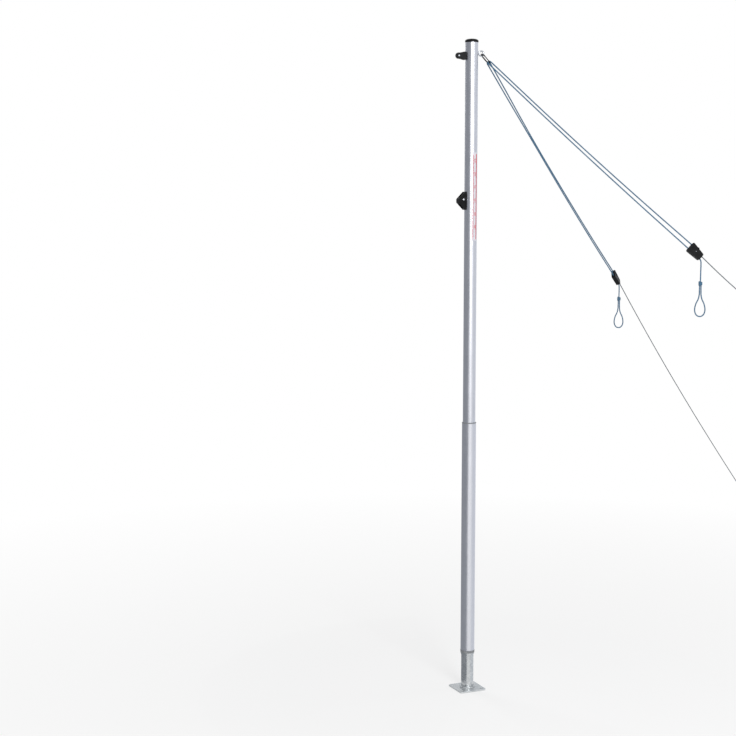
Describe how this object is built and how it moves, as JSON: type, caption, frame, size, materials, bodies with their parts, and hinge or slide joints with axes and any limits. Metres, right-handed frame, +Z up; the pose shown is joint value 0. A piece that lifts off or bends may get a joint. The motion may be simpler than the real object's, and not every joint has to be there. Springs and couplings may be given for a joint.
{
  "type": "volleyball net post",
  "caption": "Two-part sliding post on a flat steel foot, with a small pulley and a cam cleat on one side and doubled guy ropes with cam tensioners on the other.",
  "frame": {"origin": "middle of the base plate's underside, on the floor and on the post's axis", "axes": "+Z up the post, -X the inner side with the pulley and cleat, +X the outer side with the guy ropes, -Y the front, towards the camera"},
  "size_m": [2.0587, 1.4945, 2.5035],
  "materials": {
    "anodised_aluminium": "satin anodised tube",
    "galvanised_steel": "dull galvanised, faint spangle",
    "zinc_plated_steel": "bright zinc plating",
    "spring_steel": "bare spring steel",
    "grey_nylon": "moulded grey nylon",
    "black_nylon": "moulded black nylon",
    "dark_nylon": "turned or moulded dark nylon",
    "black_steel": "black powder coat",
    "red_and_clear_film": "thin printed film",
    "blue_rope": "braided rope",
    "grey_line": "thin braided line"
  },
  "bodies": {
    "foot": {"base_plate": "galvanised_steel", "foot_spigot": "galvanised_steel"},
    "pivot_ring": {"thrust_ring": "dark_nylon"},
    "lower_post": {"foot_bush": "grey_nylon", "lower_tube": "anodised_aluminium", "guide_bush": "grey_nylon"},
    "upper_post": {"upper_tube": "anodised_aluminium", "snap_spring": "spring_steel", "top_cap": "black_nylon", "scale_strip": "red_and_clear_film", "eyebolt": "zinc_plated_steel", "eyebolt_washer": "zinc_plated_steel", "eyebolt_nut": "zinc_plated_steel", "carabiner": "black_steel", "pulley_bracket": "black_steel", "pulley_axle": "zinc_plated_steel", "pulley_bolt": "zinc_plated_steel", "pulley_nut": "zinc_plated_steel", "cleat_frame": "black_nylon", "cleat_pin": "zinc_plated_steel", "cleat_spring": "spring_steel", "cleat_screw_upper": "zinc_plated_steel", "cleat_screw_lower": "zinc_plated_steel", "front_guy_rope": "blue_rope", "rear_guy_rope": "blue_rope"},
    "button": {"snap_button": "zinc_plated_steel"},
    "sheave": {"pulley_sheave": "dark_nylon"},
    "cleat_jaw": {"cleat_cam": "dark_nylon"},
    "gate": {"carabiner_gate": "black_steel"},
    "front_tensioner": {"front_tensioner_body": "black_nylon", "front_tensioner_pin": "zinc_plated_steel", "front_tensioner_spring": "spring_steel", "front_pull_cord": "blue_rope", "front_pull_knot": "blue_rope", "front_pull_loop": "blue_rope", "front_ground_line": "grey_line", "front_ground_knot": "grey_line", "front_ground_loop": "grey_line"},
    "front_jaw": {"front_tensioner_cam": "dark_nylon"},
    "rear_tensioner": {"rear_tensioner_body": "black_nylon", "rear_tensioner_pin": "zinc_plated_steel", "rear_tensioner_spring": "spring_steel", "rear_pull_cord": "blue_rope", "rear_pull_knot": "blue_rope", "rear_pull_loop": "blue_rope", "rear_ground_line": "grey_line", "rear_ground_knot": "grey_line", "rear_ground_loop": "grey_line"},
    "rear_jaw": {"rear_tensioner_cam": "dark_nylon"}
  },
  "joints": [
    {"name": "foot_swivel", "type": "hinge", "parent": "foot", "child": "pivot_ring", "pos_m": [0, 0, 0.1463], "axis": [0, 0, 1], "continuous": true},
    {"name": "lift_off", "type": "slide", "parent": "pivot_ring", "child": "lower_post", "axis": [0, 0, 1], "range_m": [0, 0.16]},
    {"name": "height_slide", "type": "slide", "parent": "lower_post", "child": "upper_post", "axis": [0, 0, 1], "range_m": [-0.19, 0], "deforming": ["snap_button", "snap_spring"]},
    {"name": "button_press", "type": "slide", "parent": "upper_post", "child": "button", "axis": [0, -1, 0], "range_m": [0, 0.006], "stiffness_N_per_m": 400, "springref_m": -0.004, "deforming": ["snap_spring"]},
    {"name": "sheave_spin", "type": "hinge", "parent": "upper_post", "child": "sheave", "pos_m": [-0.0545, 0, 2.4395], "axis": [0, 1, 0], "continuous": true},
    {"name": "cleat_jaw_pivot", "type": "hinge", "parent": "upper_post", "child": "cleat_jaw", "pos_m": [-0.0345, 0, 1.905], "axis": [0, -1, 0], "range_deg": [0, 40], "stiffness_Nm_per_rad": 0.02, "springref_deg": -20.05, "deforming": ["cleat_spring"]},
    {"name": "gate_hinge", "type": "hinge", "parent": "upper_post", "child": "gate", "pos_m": [0.05199, -0.0105, 2.43717], "axis": [0.7165, 0, 0.6976], "range_deg": [0, 22], "stiffness_Nm_per_rad": 0.03, "springref_deg": -17.19},
    {"name": "front_tensioner_slide", "type": "slide", "parent": "upper_post", "child": "front_tensioner", "axis": [-0.6545, 0.3463, 0.6722], "range_m": [0, 0.12], "deforming": ["front_guy_rope"]},
    {"name": "front_jaw_pivot", "type": "hinge", "parent": "front_tensioner", "child": "front_jaw", "pos_m": [0.76079, -0.3693, 1.70992], "axis": [-0.2416, -0.9381, 0.2481], "range_deg": [0, 30], "stiffness_Nm_per_rad": 0.02, "springref_deg": -17.19, "deforming": ["front_tensioner_spring"]},
    {"name": "rear_tensioner_slide", "type": "slide", "parent": "upper_post", "child": "rear_tensioner", "axis": [-0.6545, -0.3463, 0.6722], "range_m": [0, 0.12], "deforming": ["rear_guy_rope"]},
    {"name": "rear_jaw_pivot", "type": "hinge", "parent": "rear_tensioner", "child": "rear_jaw", "pos_m": [0.89803, 0.44235, 1.56875], "axis": [0.6832, -0.6517, 0.3295], "range_deg": [0, 30], "stiffness_Nm_per_rad": 0.02, "springref_deg": -17.19, "deforming": ["rear_tensioner_spring"]}
  ]
}
